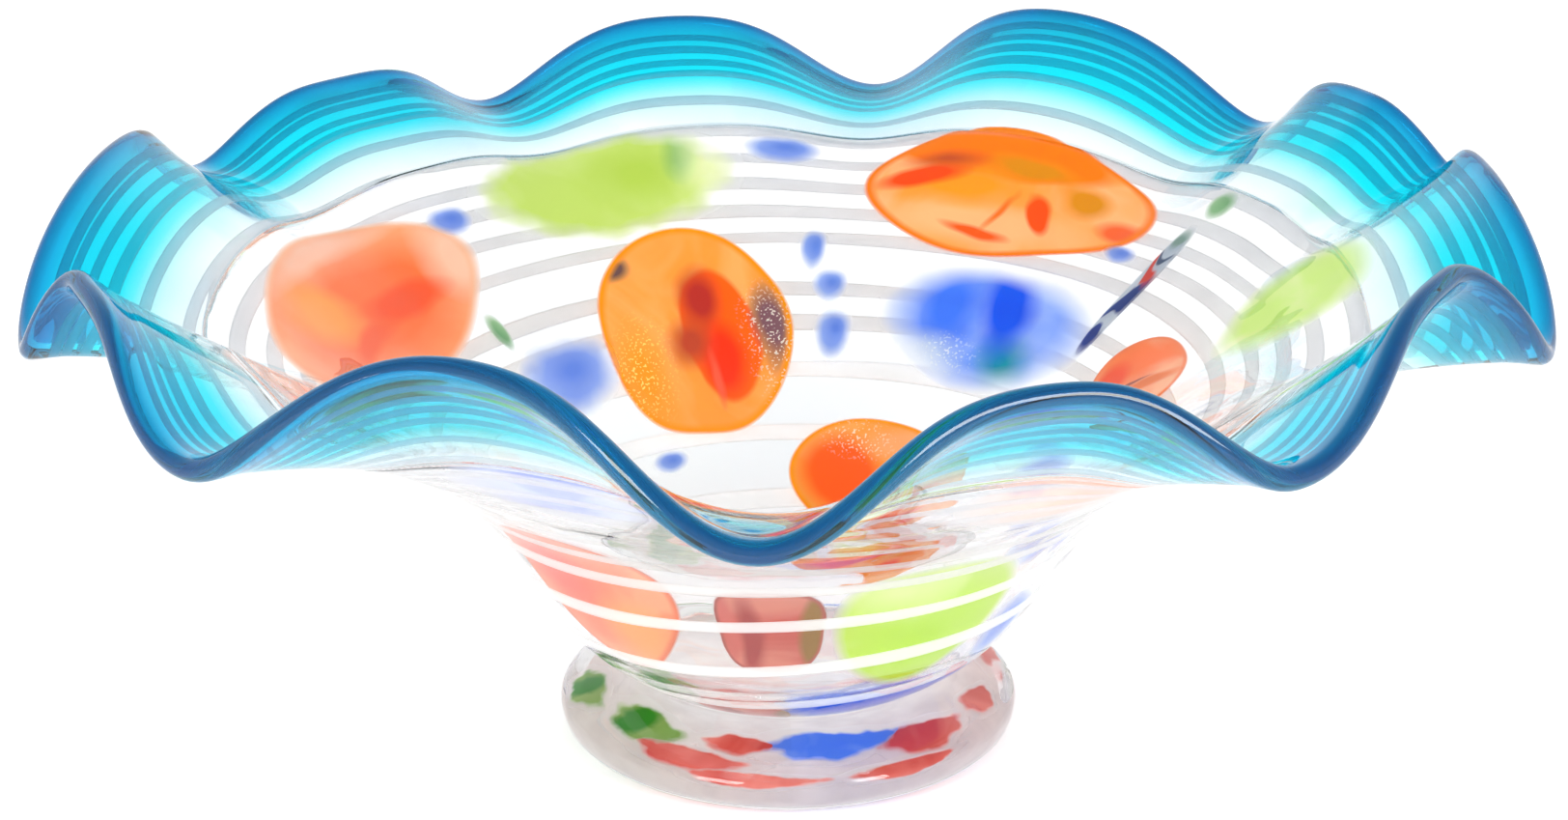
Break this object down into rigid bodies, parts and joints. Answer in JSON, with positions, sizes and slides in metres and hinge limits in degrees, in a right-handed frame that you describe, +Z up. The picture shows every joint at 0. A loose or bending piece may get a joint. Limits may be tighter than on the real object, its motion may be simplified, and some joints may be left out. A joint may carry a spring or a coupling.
{
  "type": "ruffled art glass bowl",
  "caption": "Wide clear glass centrepiece bowl on a round foot, with a ruffled aqua lip, a white spiral trail and coloured glass patches. Holds fruit or stands as decoration.",
  "frame": {"origin": "centre of the flat base of the foot, on the surface that the bowl stands on", "axes": "+Z up along the bowl's axis, -Y towards the front, +X to the right seen from the front"},
  "size_m": [0.4012, 0.4108, 0.1697],
  "materials": {
    "clear_glass": "clear, fire polished",
    "aqua_glass": "transparent aqua, fire polished",
    "white_glass": "opal white thread",
    "orange_glass": "streaked orange and amber with red and gold flecks",
    "coral_glass": "streaked coral",
    "red_glass": "streaked brown red",
    "lime_glass": "streaked lime green",
    "blue_glass": "streaked cobalt blue",
    "green_glass": "streaked green",
    "cane_glass": "bands of blue, red and green"
  },
  "bodies": {
    "root": {"foot": "clear_glass", "bowl_body": "clear_glass", "lip_wrap": "aqua_glass", "white_trail": "white_glass", "orange_patch_1": "orange_glass", "orange_patch_2": "orange_glass", "orange_patch_3": "orange_glass", "orange_patch_4": "orange_glass", "orange_patch_5": "orange_glass", "orange_patch_6": "orange_glass", "coral_patch_1": "coral_glass", "red_patch_1": "red_glass", "red_patch_2": "red_glass", "lime_patch_1": "lime_glass", "lime_patch_2": "lime_glass", "lime_patch_3": "lime_glass", "blue_patch_1": "blue_glass", "blue_patch_2": "blue_glass", "blue_patch_3": "blue_glass", "blue_patch_4": "blue_glass", "green_patch_1": "green_glass", "blue_chip_1": "blue_glass", "blue_chip_2": "blue_glass", "blue_chip_3": "blue_glass", "blue_chip_4": "blue_glass", "blue_chip_5": "blue_glass", "blue_chip_6": "blue_glass", "blue_chip_7": "blue_glass", "blue_chip_8": "blue_glass", "blue_chip_9": "blue_glass", "green_chip_1": "green_glass", "green_chip_2": "green_glass", "cane_chip_1": "cane_glass", "foot_streak_green_1": "green_glass", "foot_streak_green_2": "green_glass", "foot_streak_green_3": "green_glass", "foot_streak_red_1": "red_glass", "foot_streak_red_2": "red_glass", "foot_streak_red_3": "red_glass", "foot_streak_red_4": "red_glass", "foot_streak_red_5": "red_glass", "foot_streak_red_6": "red_glass", "foot_streak_red_7": "red_glass", "foot_streak_blue_1": "blue_glass", "foot_streak_blue_2": "blue_glass"}
  },
  "joints": []
}
